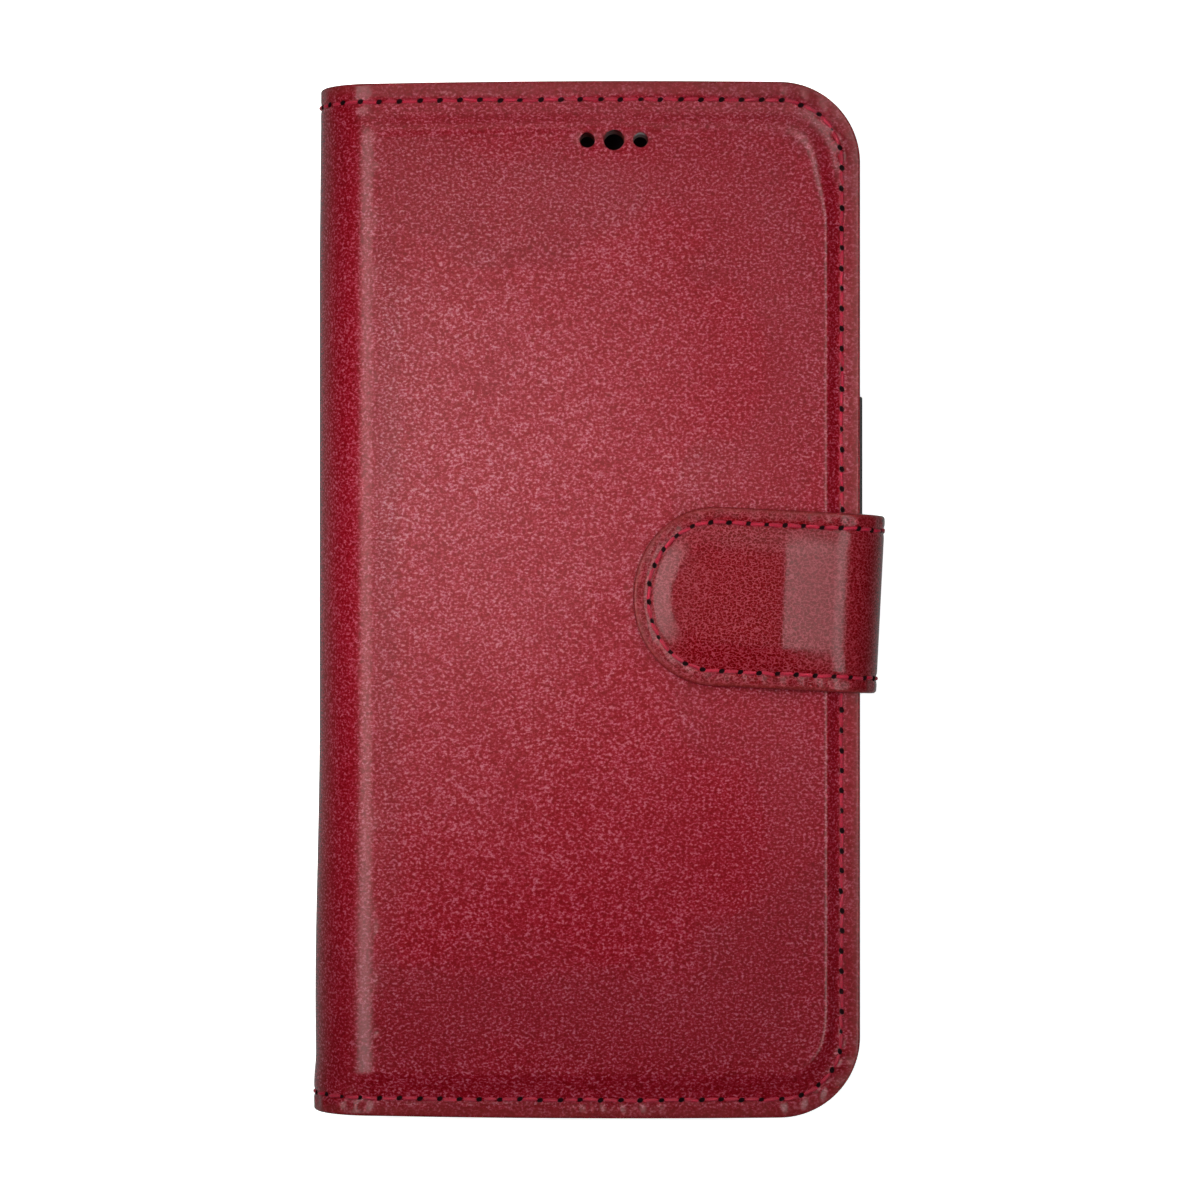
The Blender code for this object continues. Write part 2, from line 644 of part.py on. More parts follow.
def fold_place(centre, radius, angle):
    """The point on a bend's outer face, halfway round it, where the fold's axis runs."""
    return centre[0] + radius * math.cos(angle), centre[1] + radius * math.sin(angle)


def build():
    """Makes every part and hangs the moving ones from the axes that they turn on."""
    build_back()
    shell = build_shell()
    build_key(shell, "side_key", 1, *SIDE_KEY)
    build_key(shell, "volume_up_key", -1, *VOLUME_UP_KEY)
    build_key(shell, "volume_down_key", -1, *VOLUME_DOWN_KEY)

    still = Matrix.Identity(4)
    lower = fold_place(BACK_CENTRE, SPINE_RADIUS, -3 * EIGHTH)
    upper = fold_place(FRONT_CENTRE, SPINE_RADIUS, 3 * EIGHTH)
    spine_fold = pivot("spine_fold_axis", *lower, still)
    cover_fold = pivot("cover_fold_axis", *upper, still)
    hang(spine_fold, *build_spine(), cover_fold)
    hang(cover_fold, *build_front(), *build_pockets())

    root = fold_place(STRAP_ROOT_CENTRE, STRAP_ROOT_RADIUS, -EIGHTH)
    top = fold_place(STRAP_TOP_CENTRE, STRAP_TOP_RADIUS, EIGHTH)
    strap_root_fold = pivot("strap_root_fold_axis", *root, STRAP_PLACE)
    strap_tip_fold = pivot("strap_tip_fold_axis", *top, STRAP_PLACE)
    hang(strap_root_fold, *build_strap_side(), strap_tip_fold)
    hang(strap_tip_fold, *build_tongue())


build()
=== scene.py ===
"""The finished phone wallet case: creased red leather, stitching, suede lining and a soft black shell.

Lengths in this script are in millimetres and turn to metres where a mesh is made. The case's
leather is laid out flat, as s along its outer face from the middle of the spine and y along
the case, and is wrapped round the spine from there. The strap is laid out in the same way.
"""

import json
import math

import bpy
import numpy as np
from mathutils import Matrix, Vector


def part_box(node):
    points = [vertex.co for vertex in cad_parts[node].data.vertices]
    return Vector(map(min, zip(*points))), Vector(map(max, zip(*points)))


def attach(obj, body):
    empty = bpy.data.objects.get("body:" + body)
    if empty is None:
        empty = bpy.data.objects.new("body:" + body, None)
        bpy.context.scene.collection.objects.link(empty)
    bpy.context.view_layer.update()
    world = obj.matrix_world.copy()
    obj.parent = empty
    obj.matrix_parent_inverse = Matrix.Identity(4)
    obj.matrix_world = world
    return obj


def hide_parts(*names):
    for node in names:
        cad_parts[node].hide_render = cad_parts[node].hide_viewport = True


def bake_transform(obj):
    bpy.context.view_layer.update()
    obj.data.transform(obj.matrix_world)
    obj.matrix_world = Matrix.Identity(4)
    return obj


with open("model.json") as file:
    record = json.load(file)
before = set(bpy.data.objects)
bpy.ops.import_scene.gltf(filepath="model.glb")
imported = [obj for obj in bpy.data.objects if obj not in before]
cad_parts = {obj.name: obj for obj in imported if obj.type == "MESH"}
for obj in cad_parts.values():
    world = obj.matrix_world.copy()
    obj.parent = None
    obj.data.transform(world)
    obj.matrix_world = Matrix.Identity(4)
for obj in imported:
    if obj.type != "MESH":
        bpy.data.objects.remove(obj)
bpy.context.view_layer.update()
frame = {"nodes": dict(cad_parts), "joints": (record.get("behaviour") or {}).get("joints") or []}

MM = 0.001
QUARTER = math.pi / 2


# ---------------------------------------------------------------- places, from the frame

def box(node):
    """A CAD node's lowest and highest corners, in millimetres."""
    low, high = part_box(node)
    return np.array(low) / MM, np.array(high) / MM


JOINTS = {joint["name"]: joint for joint in frame["joints"]}
HALF_BEND = 1 - math.cos(QUARTER / 2)

COVER_RIGHT, COVER_END = box("back_leather")[1][:2]
OUTER = box("front_thread")[1][2]
PAD_TOP = box("front_leather")[1][2]
SPINE_LEFT = box("spine_leather")[0][0]
SPINE_RADIUS = (JOINTS["spine_fold"]["pos_m"][0] / MM - SPINE_LEFT) / HALF_BEND
SPINE_X = SPINE_LEFT + SPINE_RADIUS
SPINE_RISE = OUTER / 2 - SPINE_RADIUS
SPINE_ARC = SPINE_RADIUS * QUARTER
CASE_END = SPINE_RISE + SPINE_ARC + COVER_RIGHT - SPINE_X
INNER_FACE = box("back_lining")[1][2]

# The strap's own frame, before it is slanted beside the cover's free edge.
ROOT_FOLD = np.array(JOINTS["strap_root_fold"]["pos_m"]) / MM
SLANT = -math.atan2(*JOINTS["strap_root_fold"]["axis"][:2])
FOLD_BEYOND = ROOT_FOLD[0] - COVER_RIGHT
STRAP_PLACE = np.array(
    Matrix.Translation((COVER_RIGHT, ROOT_FOLD[1] - FOLD_BEYOND * math.tan(SLANT), 0))
    @ Matrix.Rotation(SLANT, 4, "Z")
    @ Matrix.Translation((-COVER_RIGHT, 0, 0))
)
STRAP_WIDTH = 26.8
STRAP_THICKNESS = 2.3
SKIVED = 0.8
STRAP_TIP_DEPTH = 12.2
STRAP_SEWN_IN = 11.0
STRAP_REACH = 34.2
STRAP_ROOT = COVER_RIGHT - STRAP_SEWN_IN
STRAP_TIP = COVER_RIGHT - STRAP_REACH
STRAP_ROOT_RADIUS = 3.0
STRAP_TOP_RADIUS = 4.5
STRAP_BEND = 7.5
STRAP_OUT = COVER_RIGHT + FOLD_BEYOND / math.cos(SLANT) + STRAP_ROOT_RADIUS * HALF_BEND
STRAP_LOW = ROOT_FOLD[2] - STRAP_ROOT_RADIUS * HALF_BEND
STRAP_TOP = JOINTS["strap_tip_fold"]["pos_m"][2] / MM + STRAP_TOP_RADIUS * HALF_BEND

COVER_CORNER = 12.0
CASE_EDGE = 0.45
STRAP_EDGE = 0.5
PANEL_EDGE = 0.25
LEATHER = 1.3
LINING_TOP = OUTER - INNER_FACE
STITCH_PITCH = 3.03
STITCH_INSET = 2.8
STRAP_STITCH_PITCH = 2.8
STRAP_STITCH_INSET = 2.3
GROOVE = 0.2

# The holes over the earpiece, as places across the cover and radii.
EAR_HOLES = ((-4.0, 1.15), (0.0, 1.55), (4.0, 1.12))
EAR_HOLE_DROP = 8.9

CAMERA_WINDOW = (33.0, 36.0)
CAMERA_CORNER = 8.0
CAMERA_FROM_SHELL = 4.3


# ---------------------------------------------------------------- materials

def linear(hex_colour):
    """An sRGB hex colour as linear red, green, blue and alpha."""
    parts = [int(hex_colour[i:i + 2], 16) / 255 for i in (1, 3, 5)]
    return [c / 12.92 if c <= 0.04045 else ((c + 0.055) / 1.055) ** 2.4 for c in parts] + [1.0]


def add(tree, kind, inputs=(), **settings):
    """Adds a node with its settings, and its inputs as constants or as links from other sockets."""
    made = tree.nodes.new(kind)
    for name, value in settings.items():
        setattr(made, name, value)
    for name, value in dict(inputs).items():
        socket = made.inputs[name]
        if isinstance(value, bpy.types.NodeSocket):
            tree.links.new(value, socket)
        else:
            socket.default_value = value
    return made


def start_material(name):
    """An empty material, its tree and its Object coordinates."""
    made = bpy.data.materials.new(name)
    made.use_nodes = True
    tree = made.node_tree
    tree.nodes.clear()
    return made, tree, add(tree, "ShaderNodeTexCoord").outputs["Object"]


def end_material(made, tree, shader):
    """Links the shader to the material's output."""
    output = add(tree, "ShaderNodeOutputMaterial")
    tree.links.new(shader.outputs["BSDF"], output.inputs["Surface"])
    return made


def ramp(tree, value, stops):
    """A colour ramp on a value, with stops as (place, hex colour)."""
    made = add(tree, "ShaderNodeValToRGB", {"Fac": value})
    elements = made.color_ramp.elements
    while len(elements) < len(stops):
        elements.new(0.5)
    for element, (place, colour) in zip(elements, stops):
        element.position = place
        element.color = linear(colour)
    return made.outputs["Color"]


def relief(tree, height, strength, depth):
    """The normals of a surface with a fine relief, its depth in millimetres."""
    settings = {"Height": height, "Strength": strength, "Distance": depth * MM}
    return add(tree, "ShaderNodeBump", settings).outputs["Normal"]


# The size in millimetres of the faint patches that the finish is sprayed in.
PATCH = 1000 / 60


def leather(name, grain, depth, roughness, grain_and_glint_colours, creased, rubbed_and_sheen_reach):
    """Split leather with a pressed grain and fine creases under a thin semi-gloss finish coat.

    The grain's tops and its creases are painted in lighter, pinker flecks, a painted glint of the
    light on them, and the leather is painted a browner red along the cut edges, partly where the
    dye is rubbed away and partly as a painted sheen. grain is the size of a grain, depth the height
    of its relief and the last argument the width of the browner edge, in millimetres, and creased
    is how strongly the creases show, from 0 to 1. The real grain is about 0.3 mm, which is too fine
    to show, so it is drawn about half as coarse again.
    """
    made, tree, place = start_material(name)
    per_grain = 1 / (grain * MM)
    stretched = add(
        tree, "ShaderNodeVectorMath", {0: place, 1: (0.8, 1.0, 1.0)}, operation="MULTIPLY"
    ).outputs[0]
    drift = add(tree, "ShaderNodeTexNoise", {"Vector": stretched, "Scale": 0.9 * per_grain, "Detail": 1.0})
    bent = add(
        tree,
        "ShaderNodeVectorMath",
        {0: drift.outputs["Color"], 1: [0.9 * grain * MM] * 3, 2: stretched},
        operation="MULTIPLY_ADD",
    )
    cells = add(
        tree,
        "ShaderNodeTexVoronoi",
        {"Vector": bent.outputs[0], "Scale": 0.8 * per_grain},
        feature="DISTANCE_TO_EDGE",
    )
    crease = add(
        tree,
        "ShaderNodeMapRange",
        {"Value": cells.outputs["Distance"], "From Max": 0.14, "To Min": creased, "To Max": 0.0},
        interpolation_type="SMOOTHSTEP",
    ).outputs["Result"]
    pores = add(
        tree,
        "ShaderNodeTexNoise",
        {"Vector": stretched, "Scale": 1.3 * per_grain, "Detail": 1.5, "Roughness": 0.6},
    ).outputs["Fac"]
    patches = add(
        tree,
        "ShaderNodeTexNoise",
        {"Vector": place, "Scale": 1 / (PATCH * MM), "Detail": 3.0, "Roughness": 0.6},
    ).outputs["Fac"]
    height = add(tree, "ShaderNodeMath", {0: crease, 1: -0.5, 2: pores}, operation="MULTIPLY_ADD")
    # The tone rises from the grain's hollows to its tops and along the creases, with faint patches at
    # random; the ramp paints the tops and creases in lighter, pinker flecks, a painted glint of the light.
    tone_and_glints = add(tree, "ShaderNodeMath", {0: pores, 1: 0.92}, operation="MULTIPLY").outputs[0]
    for value, share in ((patches, 0.08), (crease, 0.3)):
        tone_and_glints = add(
            tree, "ShaderNodeMath", {0: value, 1: share, 2: tone_and_glints}, operation="MULTIPLY_ADD"
        ).outputs[0]
    colour = ramp(tree, tone_and_glints, tuple(zip((0.36, 0.47, 0.58, 0.74), grain_and_glint_colours)))
    # Along the cut edges the colour is mixed towards a browner red, partly rubbed dye and partly a painted
    # sheen.
    border = add(tree, "ShaderNodeAttribute", attribute_name="edge_distance")
    rubbed_and_sheen = add(
        tree,
        "ShaderNodeMapRange",
        {
            "Value": border.outputs["Fac"],
            "From Min": 0.25 * rubbed_and_sheen_reach,
            "From Max": rubbed_and_sheen_reach,
            "To Min": 0.5,
            "To Max": 0.0,
        },
        interpolation_type="SMOOTHSTEP",
    )
    mixed = add(
        tree,
        "ShaderNodeMix",
        {"Factor": rubbed_and_sheen.outputs["Result"], 6: colour, 7: linear("#7E2A28")},
        data_type="RGBA",
    )
    shine = add(
        tree,
        "ShaderNodeMapRange",
        {"Value": patches, "To Min": roughness - 0.04, "To Max": roughness + 0.04},
    )
    shader = add(
        tree,
        "ShaderNodeBsdfPrincipled",
        {
            "Base Color": mixed.outputs[2],
            "Roughness": shine.outputs["Result"],
            "IOR": 1.5,
            "Normal": relief(tree, height.outputs[0], 1.0, depth),
        },
    )
    return end_material(made, tree, shader)


def edge_paint():
    """Brown-red edge paint, brushed on the cut edges in two coats: matt, with faint layer lines."""
    made, tree, place = start_material("edge_paint")
    grit = add(tree, "ShaderNodeTexNoise", {"Vector": place, "Scale": 1 / (0.5 * MM), "Detail": 4.0})
    colour = ramp(tree, grit.outputs["Fac"], ((0.25, "#6A2620"), (0.75, "#8A3A32")))
    normal = relief(tree, grit.outputs["Fac"], 0.6, 0.08)
    shader = add(
        tree,
        "ShaderNodeBsdfPrincipled",
        {"Base Color": colour, "Roughness": 0.6, "IOR": 1.48, "Normal": normal},
    )
    return end_material(made, tree, shader)


def suede():
    """Microfibre suede, brushed one way: a soft nap with a pale sheen and lighter brushed patches."""
    made, tree, place = start_material("microfibre_suede")
    nap = add(tree, "ShaderNodeTexNoise", {"Vector": place, "Scale": 1 / (0.22 * MM), "Detail": 4.0})
    brushed = add(tree, "ShaderNodeTexNoise", {"Vector": place, "Scale": 1 / (14 * MM), "Detail": 2.0})
    lighter = add(tree, "ShaderNodeMath", {0: brushed.outputs["Fac"], 1: 0.5}, operation="MULTIPLY")
    mixed = add(
        tree,
        "ShaderNodeMath",
        {0: nap.outputs["Fac"], 1: 0.6, 2: lighter.outputs[0]},
        operation="MULTIPLY_ADD",
    )
    colour = ramp(tree, mixed.outputs[0], ((0.3, "#4A1219"), (0.75, "#7A2A32")))
    normal = relief(tree, nap.outputs["Fac"], 0.8, 0.12)
    shader = add(
        tree,
        "ShaderNodeBsdfPrincipled",
        {
            "Base Color": colour,
            "Roughness": 0.95,
            "Sheen Weight": 0.4,
            "Sheen Roughness": 0.5,
            "Normal": normal,
        },
    )
    return end_material(made, tree, shader)


def waxed_thread():
    """Waxed polyester thread in bright crimson, twisted from fine fibres."""
    made, tree, place = start_material("waxed_thread")
    fibres = add(
        tree, "ShaderNodeTexNoise", {"Vector": place, "Scale": 1 / (0.16 * MM), "Detail": 2.0}
    )
    colour = ramp(tree, fibres.outputs["Fac"], ((0.3, "#92102A"), (0.7, "#C9203F")))
    normal = relief(tree, fibres.outputs["Fac"], 0.7, 0.06)
    shader = add(
        tree,
        "ShaderNodeBsdfPrincipled",
        {"Base Color": colour, "Roughness": 0.42, "IOR": 1.5, "Normal": normal},
    )
    return end_material(made, tree, shader)


def needle_hole():
    """The shadow inside a needle hole, nearly black."""
    made, tree, place = start_material("needle_hole")
    grit = add(tree, "ShaderNodeTexNoise", {"Vector": place, "Scale": 1 / (0.3 * MM)})
    colour = ramp(tree, grit.outputs["Fac"], ((0.3, "#0C0304"), (0.8, "#1E0709")))
    shader = add(
        tree,
        "ShaderNodeBsdfPrincipled",
        {"Base Color": colour, "Roughness": 0.95, "Specular IOR Level": 0.1},
    )
    return end_material(made, tree, shader)


def moulded(name, deep, light, roughness, grain, depth):
    """Injection-moulded plastic with the fine spark-eroded grain of its mould."""
    made, tree, place = start_material(name)
    grit = add(tree, "ShaderNodeTexNoise", {"Vector": place, "Scale": 1 / (grain * MM), "Detail": 3.0})
    colour = ramp(tree, grit.outputs["Fac"], ((0.3, deep), (0.8, light)))
    normal = relief(tree, grit.outputs["Fac"], 0.5, depth)
    shader = add(
        tree,
        "ShaderNodeBsdfPrincipled",
        {"Base Color": colour, "Roughness": roughness, "IOR": 1.5, "Normal": normal},
    )
    return end_material(made, tree, shader)


def plated_steel():
    """Nickel-plated magnet steel, with fine turning marks under the plating."""
    made, tree, place = start_material("nickel_plated_steel")
    marks = add(tree, "ShaderNodeTexNoise", {"Vector": place, "Scale": 1 / (0.4 * MM), "Detail": 2.0})
    normal = relief(tree, marks.outputs["Fac"], 0.2, 0.03)
    colour = ramp(tree, marks.outputs["Fac"], ((0.2, "#A9A9AC"), (0.8, "#C9C9CC")))
    shader = add(
        tree,
        "ShaderNodeBsdfPrincipled",
        {"Base Color": colour, "Metallic": 1.0, "Roughness": 0.3, "Normal": normal},
    )
    return end_material(made, tree, shader)


# The two lightest colours of each leather are painted glints on its grain; the last number is the width of
# the browner edge, partly rubbed dye and partly painted sheen.
COVER_LEATHER = leather(
    "cover_leather", 0.46, 0.015, 0.23, ("#6E0008", "#7E000E", "#90182A", "#B25060"), 0.3, 2.2
)
STRAP_LEATHER = leather(
    "strap_leather", 0.42, 0.015, 0.18, ("#600003", "#680004", "#7C0E1A", "#94323C"), 0.8, 0.9
)
POCKET_LEATHER = leather(
    "pocket_leather", 0.46, 0.02, 0.35, ("#6A0616", "#7C0A1C", "#861828", "#903040"), 0.3, 1.0
)
EDGE_PAINT = edge_paint()
SUEDE = suede()
THREAD = waxed_thread()
HOLE = needle_hole()
SHELL_PLASTIC = moulded("soft_black_plastic", "#0B0B0C", "#161617", 0.38, 0.5, 0.02)
FILM = moulded("adhesive_film", "#CFC9B0", "#DAD5C0", 0.35, 0.6, 0.02)
STEEL = plated_steel()


# ---------------------------------------------------------------- meshes laid out on a grid

def smooth(value, low, high):
    """0 below low, 1 above high, and an even S between them."""
    t = np.clip((value - low) / (high - low), 0.0, 1.0)
    return t * t * (3 - 2 * t)


def hump(value, middle, width):
    """A bell with its top at middle."""
    return np.exp(-(((value - middle) / width) ** 2))


def spaced(start, stop, step):
    """Evenly spaced places from start to stop, at most step apart."""
    return np.linspace(start, stop, max(1, math.ceil(abs(stop - start) / step - 1e-9)) + 1)


def join_lines(*stretches):
    """One sorted list of places out of several."""
    return np.unique(np.round(np.concatenate(stretches), 5))


def from_edge(reach, length, edge, fine, coarse):
    """Distances from a free edge: close together over its rounding, fine to reach, then coarse."""
    rounding = edge * (1 - np.cos(np.linspace(0, QUARTER, 6)))
    return join_lines(rounding, spaced(edge, reach, fine), spaced(reach, length, coarse))


def corner(u, v, a, b):
    """Bends the outer corner of a grid's block into a quarter of an ellipse a long and b wide.

    u and v run from the block's inner corner. Lines near the edge stay at an even distance
    from it, which is also returned.
    """
    rim = min(a, b) / 2
    inner = (a - rim) / (b - rim)
    even = np.where(v >= b - rim, a - b + v, v * inner)
    ring = np.maximum(u, even)
    safe = np.maximum(ring, 1e-9)
    turn = np.where(u >= even, even / safe, 2 - u / safe) * QUARTER / 2
    across = np.where(ring >= a - rim, b - a + ring, ring / inner)
    return ring * np.cos(turn), across * np.sin(turn), a - ring


def round_corners(s, y, edge, length, half, a, b):
    """Rounds the two corners of a grid at s = length, and gives the distance from the edge there."""
    u, v = s - (length - a), np.abs(y) - (half - b)
    inside = (u > 0) & (v > 0)
    new_u, new_v, new_edge = corner(np.maximum(u, 0), np.maximum(v, 0), a, b)
    s = np.where(inside, length - a + new_u, s)
    y = np.where(inside, np.sign(y) * (half - b + new_v), y)
    return s, y, np.where(inside, new_edge, edge)


def lay_out(along, across, length, half, a, b):
    """A sheet's grid with its two far corners rounded: places s and y, and distance from the edge."""
    s, y = np.meshgrid(along, across, indexing="ij")
    return round_corners(s, y, np.minimum(length - s, half - np.abs(y)), length, half, a, b)


def mesh_object(name, points, faces, materials, slots):
    """A mesh object at the origin, from points in millimetres."""
    mesh = bpy.data.meshes.new(name)
    mesh.from_pydata((np.asarray(points) * MM).tolist(), [], faces.tolist())
    for material in materials:
        mesh.materials.append(material)
    mesh.polygons.foreach_set("material_index", slots)
    mesh.shade_smooth()
    made = bpy.data.objects.new(name, mesh)
    bpy.context.scene.collection.objects.link(made)
    return made


def grid_faces(rows, columns):
    """The quads of a grid of points, as indices."""
    index = np.arange(rows * columns).reshape(rows, columns)
    return np.stack(
        [index[:-1, :-1], index[1:, :-1], index[1:, 1:], index[:-1, 1:]], axis=-1
    ).reshape(-1, 4)


def closed_sheet(name, outer, inner, edge, materials):
    """A closed sheet between two grids of points, with each point's distance from the edge.

    Its materials are those of the outer face, the cut edge and the inner face.
    """
    rows, columns = outer.shape[:2]
    count = rows * columns
    front = grid_faces(rows, columns)
    index = np.arange(count).reshape(rows, columns)
    loop = np.concatenate([index[:-1, 0], index[-1, :-1], index[:0:-1, -1], index[0, :0:-1]])
    following = np.roll(loop, -1)
    rim = np.stack([loop, loop + count, following + count, following], axis=-1)
    faces = np.concatenate([front, front[:, ::-1] + count, rim])
    slots = np.concatenate([np.zeros(len(front)), np.full(len(front), 2), np.ones(len(rim))])
    points = np.concatenate([outer.reshape(-1, 3), inner.reshape(-1, 3)])
    made = mesh_object(name, points, faces, materials, slots.astype(np.int32))
    layer = made.data.attributes.new("edge_distance", "FLOAT", "POINT")
    layer.data.foreach_set("value", np.tile(edge.ravel(), 2).astype(np.float32))
    return made


# ---------------------------------------------------------------- the case's leather and lining

def wrap_case(s, y, rise, front):
    """Points of the case at s along its outer face and a height above it, on the front or back half."""
    turn = np.clip((s - SPINE_RISE) / SPINE_RADIUS, 0, QUARTER)
    flat = np.maximum(s - SPINE_RISE - SPINE_ARC, 0)
    upright = np.minimum(s, SPINE_RISE)
    x = SPINE_X - SPINE_RADIUS * np.cos(turn) + flat - rise * np.cos(turn)
    z = OUTER / 2 + upright + (SPINE_RADIUS + rise) * np.sin(turn)
    bow = 0.14 - 0.42 * ((SPINE_X + flat - 3.0) / 40.0) ** 2
    return np.stack([x, y * (1 + bow / COVER_END), z if front else OUTER - z], axis=-1)


def case_outward(s, front):
    """The outward direction of the case's outer face at s."""
    turn = np.clip((s - SPINE_RISE) / SPINE_RADIUS, 0, QUARTER)
    up = np.sin(turn) if front else -np.sin(turn)
    return np.stack([-np.cos(turn), np.zeros_like(turn), up], axis=-1)


def spine_swell(s, y):
    """The spine's leather stands off its stiffener towards the bottom end, and flares there."""
    upright = np.cos(np.clip((s - SPINE_RISE) / SPINE_RADIUS, 0, QUARTER)) ** 2
    return upright * (0.75 * smooth(-y, 18.0, 66.0) + 0.3 * smooth(-y, 69.0, 74.0))


def rounded_edge(edge, radius):
    """How far a face drops towards its edge, as a quarter circle."""
    near = np.clip(1 - edge / radius, 0, 1)
    return -radius * (1 - np.sqrt(1 - near * near))


def sewn_border(s, y, edge, inset):
    """The border along the stitching: a sunk line under the thread, and a pucker at each stitch."""
    sides = COVER_END - np.abs(y) < CASE_END - s
    run = np.where(sides, s, y)
    pull = np.cos(2 * math.pi * run / STITCH_PITCH)
    sunk = -GROOVE * hump(edge, inset, 0.5) * (1 + 0.35 * pull)
    return sunk + (0.05 + 0.07 * smooth(-y, 66.0, 70.0)) * pull * hump(edge, inset - 1.2, 0.8)


def pad_rise(s, y, edge):
    """The padded panel: a step with a crisp shoulder, wider along the bottom, and a low crown."""
    x = s - SPINE_RISE - SPINE_ARC + SPINE_X
    width = 2.1 + 1.7 * smooth(-y, 62.0, 72.0) + 2.9 * smooth(y, 56.0, 70.0)
    step = smooth(edge, 3.2, 3.2 + width) * smooth(x, -45.0, -33.0)
    crown = 0.2 * smooth(edge, 3.0, 30.0)
    loose = 0.05 * np.sin(x / 7.1 + 0.6) * np.cos(y / 11.3) * smooth(edge, 5.0, 15.0)
    return step * (PAD_TOP - OUTER) + crown + loose


def ear_dimples(s, y):
    """The leather dips where it is pulled into the holes over the earpiece."""
    x = s - SPINE_RISE - SPINE_ARC + SPINE_X
    row = COVER_END - EAR_HOLE_DROP
    return sum(-0.3 * hump(np.hypot(x - at, y - row), 0.0, radius * 1.35) for at, radius in EAR_HOLES)


def front_rise(s, y, edge):
    """How far the front's leather stands above the case's plain outer face."""
    plain = spine_swell(s, y) + sewn_border(s, y, edge, STITCH_INSET) + rounded_edge(edge, CASE_EDGE)
    return plain + pad_rise(s, y, edge) + ear_dimples(s, y)


def back_rise(s, y, edge):
    """The same for the back, which is plain and lies flat."""
    sunk = np.minimum(sewn_border(s, y, edge, STITCH_INSET), 0)
    return spine_swell(s, y) + sunk + rounded_edge(edge, CASE_EDGE)


def case_grid(inset, fine, coarse, bend, extra=()):
    """The layout of one half of the case, from the middle of the spine to its free edge."""
    length, half = CASE_END - inset, COVER_END - inset
    reach = COVER_CORNER + 1.0 - inset
    sides = from_edge(reach, half, CASE_EDGE, fine, coarse)
    flat_start = SPINE_RISE + SPINE_ARC
    along = join_lines(
        length - from_edge(reach, length - flat_start, CASE_EDGE, fine, coarse),
        spaced(0, flat_start, bend),
        extra or [0.0],
    )
    across = join_lines(sides - half, half - sides)
    radius = COVER_CORNER - inset
    return lay_out(along, across, length, half, radius, radius)


def bore(made, cutters):
    """Cuts holes through a closed sheet and makes the cut plain geometry."""
    for tool in cutters:
        step = made.modifiers.new("hole", "BOOLEAN")
        step.operation = "DIFFERENCE"
        step.solver = "EXACT"
        step.object = tool
    bake(made)
    for tool in cutters:
        bpy.data.objects.remove(tool, do_unlink=True)


def bake(made):
    """Replaces a piece's mesh with what its modifiers make of it, and removes them."""
    bpy.context.view_layer.update()
    evaluated = made.evaluated_get(bpy.context.evaluated_depsgraph_get())
    mesh = bpy.data.meshes.new_from_object(evaluated)
    made.modifiers.clear()
    made.data = mesh


def prism(name, outline, low, high):
    """A straight-sided tool over an outline of points, from one level to another."""
    count = len(outline)
    flat = np.asarray(outline)
    lower = np.column_stack([flat, np.full(count, low)])
    upper = np.column_stack([flat, np.full(count, high)])
    mesh = bpy.data.meshes.new(name)
    walls = [[i, (i + 1) % count, count + (i + 1) % count, count + i] for i in range(count)]
    faces = [list(range(count))[::-1], list(range(count, 2 * count)), *walls]
    mesh.from_pydata((np.concatenate([lower, upper]) * MM).tolist(), [], faces)
    made = bpy.data.objects.new(name, mesh)
    bpy.context.scene.collection.objects.link(made)
    return made


def circle(x, y, radius, steps=40):
    """A circle's outline."""
    turns = np.arange(steps) * 4 * QUARTER / steps
    return np.stack([x + radius * np.cos(turns), y + radius * np.sin(turns)], axis=-1)


def rounded_rectangle(low, high, radius, steps=12):
    """The outline of a rectangle with round corners."""
    points = []
    for turn, (x, y) in enumerate(((high[0], low[1]), high, (low[0], high[1]), low)):
        centre = (x - radius * (1 if x == high[0] else -1), y - radius * (1 if y == high[1] else -1))
        for step in range(steps + 1):
            angle = (turn - 1 + step / steps) * QUARTER
            points.append((centre[0] + radius * math.cos(angle), centre[1] + radius * math.sin(angle)))
    return np.array(points)


def ear_cutters(low, high):
    """Tools for the holes over the earpiece."""
    row = COVER_END - EAR_HOLE_DROP
    return [prism("ear_tool", circle(x, row, radius), low, high) for x, radius in EAR_HOLES]


def camera_cutter(bottom, top, grow=0.0):
    """A tool for the camera window, as large as the one in the lining grown all round."""
    high = box("phone_shell")[1][:2] - CAMERA_FROM_SHELL + grow
    low = high - CAMERA_WINDOW - 2 * grow
    outline = rounded_rectangle(low, high, CAMERA_CORNER + grow)
    return prism("camera_tool", outline, bottom, top)


